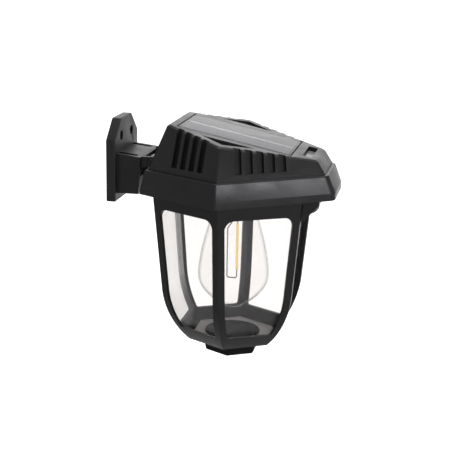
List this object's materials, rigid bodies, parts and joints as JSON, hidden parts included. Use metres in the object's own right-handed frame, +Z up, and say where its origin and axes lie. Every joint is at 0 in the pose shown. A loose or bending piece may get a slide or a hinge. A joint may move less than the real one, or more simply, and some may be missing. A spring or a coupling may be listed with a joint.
{
  "type": "solar wall lantern",
  "caption": "Solar wall lantern: fluted sloping roof with a solar panel, ribbed cage with a clear shade and filament lamp, motion sensor, hinged to a wall bracket.",
  "frame": {"origin": "on the wall, midway between the two screw holes of the wall plate", "axes": "+X away from the wall through the lantern, +Y along the wall, +Z up"},
  "size_m": [0.2002, 0.181, 0.211],
  "materials": {
    "bracket_plastic": "moulded satin black",
    "housing_plastic": "moulded satin black, fine grain",
    "cage_plastic": "moulded satin black",
    "button_plastic": "satin black",
    "socket_plastic": "matt black",
    "holder_plastic": "matt black",
    "washer_plastic": "natural nylon",
    "floor_plastic": "matt light grey",
    "disc_plastic": "matt black",
    "switch_body": "matt black",
    "seal_foam": "matt foam",
    "gasket_rubber": "matt silicone",
    "circuit_board": "green solder mask",
    "solar_cell": "dark silicon",
    "busbar_metal": "tinned",
    "clear_resin": "clear cast resin, glossy",
    "sensor_lens": "milky, faceted",
    "sensor_metal": "nickel plated",
    "screw_steel": "zinc plated",
    "clear_shade": "clear, polished",
    "cap_metal": "pressed thread",
    "bulb_glass": "clear, polished",
    "lead_wire": "drawn wire",
    "filament": "warm, lit",
    "battery_can": "sleeved"
  },
  "bodies": {
    "bracket": {"wall_bracket": "bracket_plastic", "hinge_bolt": "screw_steel", "hinge_nut": "screw_steel", "hinge_washers": "washer_plastic"},
    "lantern": {"roof_housing": "housing_plastic", "panel_seal": "seal_foam", "solar_board": "circuit_board", "solar_cells": "solar_cell", "cell_busbar": "busbar_metal", "panel_cover": "clear_resin", "tactile_switch": "switch_body", "switch_board": "circuit_board", "switch_board_screws": "screw_steel", "rim_gasket": "gasket_rubber", "base_tray": "housing_plastic", "tray_screws": "screw_steel", "sensor_housing": "housing_plastic", "pir_lens": "sensor_lens", "pir_sensor": "sensor_metal", "sensor_board": "circuit_board", "sensor_screws": "screw_steel", "cage": "cage_plastic", "cage_screws": "screw_steel", "clear_shade": "clear_shade", "floor_plate": "floor_plastic", "floor_disc": "disc_plastic", "foot_screw": "screw_steel", "cage_foot": "cage_plastic", "lamp_socket": "socket_plastic", "socket_screws": "screw_steel", "bulb_cap": "cap_metal", "bulb_glass": "bulb_glass", "glass_stem": "bulb_glass", "filament_wires": "lead_wire", "led_filament": "filament", "battery": "battery_can", "battery_holder": "holder_plastic", "control_board": "circuit_board", "board_screws": "screw_steel"},
    "button": {"mode_button": "button_plastic", "switch_plunger": "switch_body"}
  },
  "joints": [
    {"name": "head_tilt", "type": "hinge", "parent": "bracket", "child": "lantern", "pos_m": [0.0382, 0, -0.02], "axis": [0, -1, 0], "range_deg": [-10, 35]},
    {"name": "mode_press", "type": "slide", "parent": "lantern", "child": "button", "axis": [-0.202, 0, -0.9794], "range_m": [0, 0.0011], "stiffness_N_per_m": 400, "springref_m": -0.0005}
  ]
}
